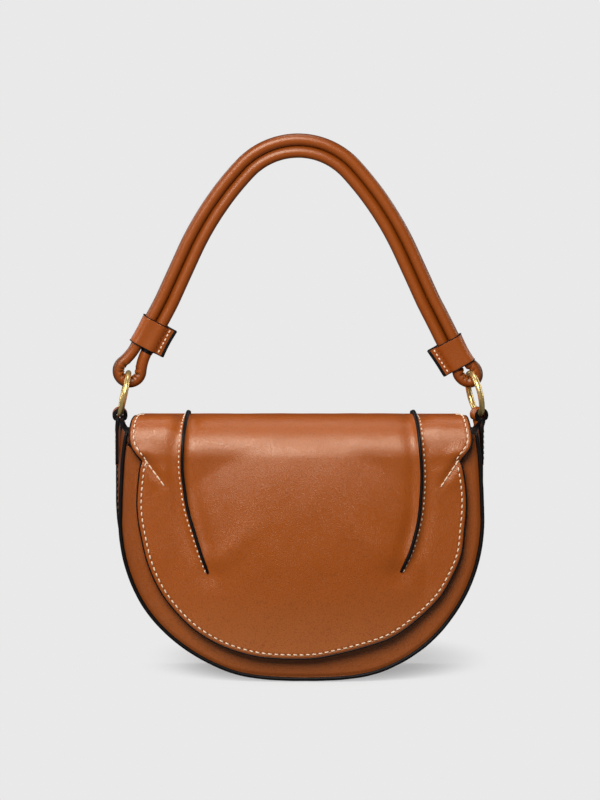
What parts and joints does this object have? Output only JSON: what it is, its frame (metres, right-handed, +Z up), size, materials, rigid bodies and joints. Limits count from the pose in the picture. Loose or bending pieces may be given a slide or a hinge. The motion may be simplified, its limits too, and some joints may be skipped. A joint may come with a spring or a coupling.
{
  "type": "saddle handbag",
  "caption": "Structured tan leather saddle handbag with a rounded flap, dark painted seams, a doubled cord handle and brass rings",
  "frame": {"origin": "middle of the flat base, on the surface that the bag stands on", "axes": "+Z up, the bag's front and flap face -Y, +X to the right as seen from the front"},
  "size_m": [0.2322, 0.0793, 0.3389],
  "materials": {
    "tan_leather": "smooth burnished hide with a soft sheen",
    "edge_paint": "dark satin painted leather edge",
    "suede_facing": "fine suede",
    "cotton_lining": "plain woven cotton",
    "stiffening_board": "pressed fibre board",
    "rope_core": "twisted cotton rope",
    "brass": "polished brass plate",
    "steel_washer": "zinc coated sheet"
  },
  "bodies": {
    "bag": {"front_panel": "tan_leather", "front_board": "stiffening_board", "front_lining": "cotton_lining", "back_panel": "tan_leather", "back_board": "stiffening_board", "back_lining": "cotton_lining", "gusset": "tan_leather", "gusset_board": "stiffening_board", "gusset_lining": "cotton_lining", "front_rim": "edge_paint", "back_rim": "edge_paint", "slip_pocket": "cotton_lining", "pocket_binding": "tan_leather", "tab_left": "tan_leather", "tab_right": "tan_leather", "snap_socket": "brass", "socket_washer": "steel_washer"},
    "flap_top": {"flap_top_leather": "tan_leather", "flap_top_board": "stiffening_board", "flap_top_facing": "suede_facing"},
    "flap_front": {"flap_leather": "tan_leather", "flap_board": "stiffening_board", "flap_facing": "suede_facing", "flap_edge": "edge_paint", "dart_fin_left": "edge_paint", "dart_fin_right": "edge_paint", "snap_stud": "brass", "stud_washer": "steel_washer"},
    "handle": {"handle_cover": "tan_leather", "handle_core": "rope_core", "cord_join": "edge_paint"},
    "left_keeper": {"keeper_left": "tan_leather"},
    "right_keeper": {"keeper_right": "tan_leather"},
    "left_ring": {"ring_left": "brass"},
    "right_ring": {"ring_right": "brass"}
  },
  "joints": [
    {"name": "flap_lift", "type": "hinge", "parent": "bag", "child": "flap_top", "pos_m": [0, 0.035, 0.149], "axis": [-1, 0, 0], "range_deg": [0, 10]},
    {"name": "flap_fold", "type": "hinge", "parent": "flap_top", "child": "flap_front", "pos_m": [0, -0.0175, 0.1644], "axis": [-1, 0, 0], "range_deg": [0, 92]},
    {"name": "handle_swing", "type": "hinge", "parent": "bag", "child": "handle", "pos_m": [0, 0, 0.17549], "axis": [-1, 0, 0], "range_deg": [-98, 92]},
    {"name": "keeper_left_slide", "type": "slide", "parent": "handle", "child": "left_keeper", "axis": [0.4695, 0, 0.8829], "range_m": [0, 0.0055]},
    {"name": "keeper_right_slide", "type": "slide", "parent": "handle", "child": "right_keeper", "axis": [-0.4695, 0, 0.8829], "range_m": [0, 0.012]},
    {"name": "ring_left_turn", "type": "hinge", "parent": "bag", "child": "left_ring", "pos_m": [-0.1088, 0, 0.17549], "axis": [0, 0, 1], "range_deg": [-14, 14]},
    {"name": "ring_right_turn", "type": "hinge", "parent": "bag", "child": "right_ring", "pos_m": [0.1088, 0, 0.17549], "axis": [0, 0, 1], "range_deg": [-14, 14]}
  ],
  "couplings": [
    {"joint": "ring_left_turn", "follows": "handle_swing", "ratio": -0.1333},
    {"joint": "ring_right_turn", "follows": "handle_swing", "ratio": 0.1333}
  ]
}
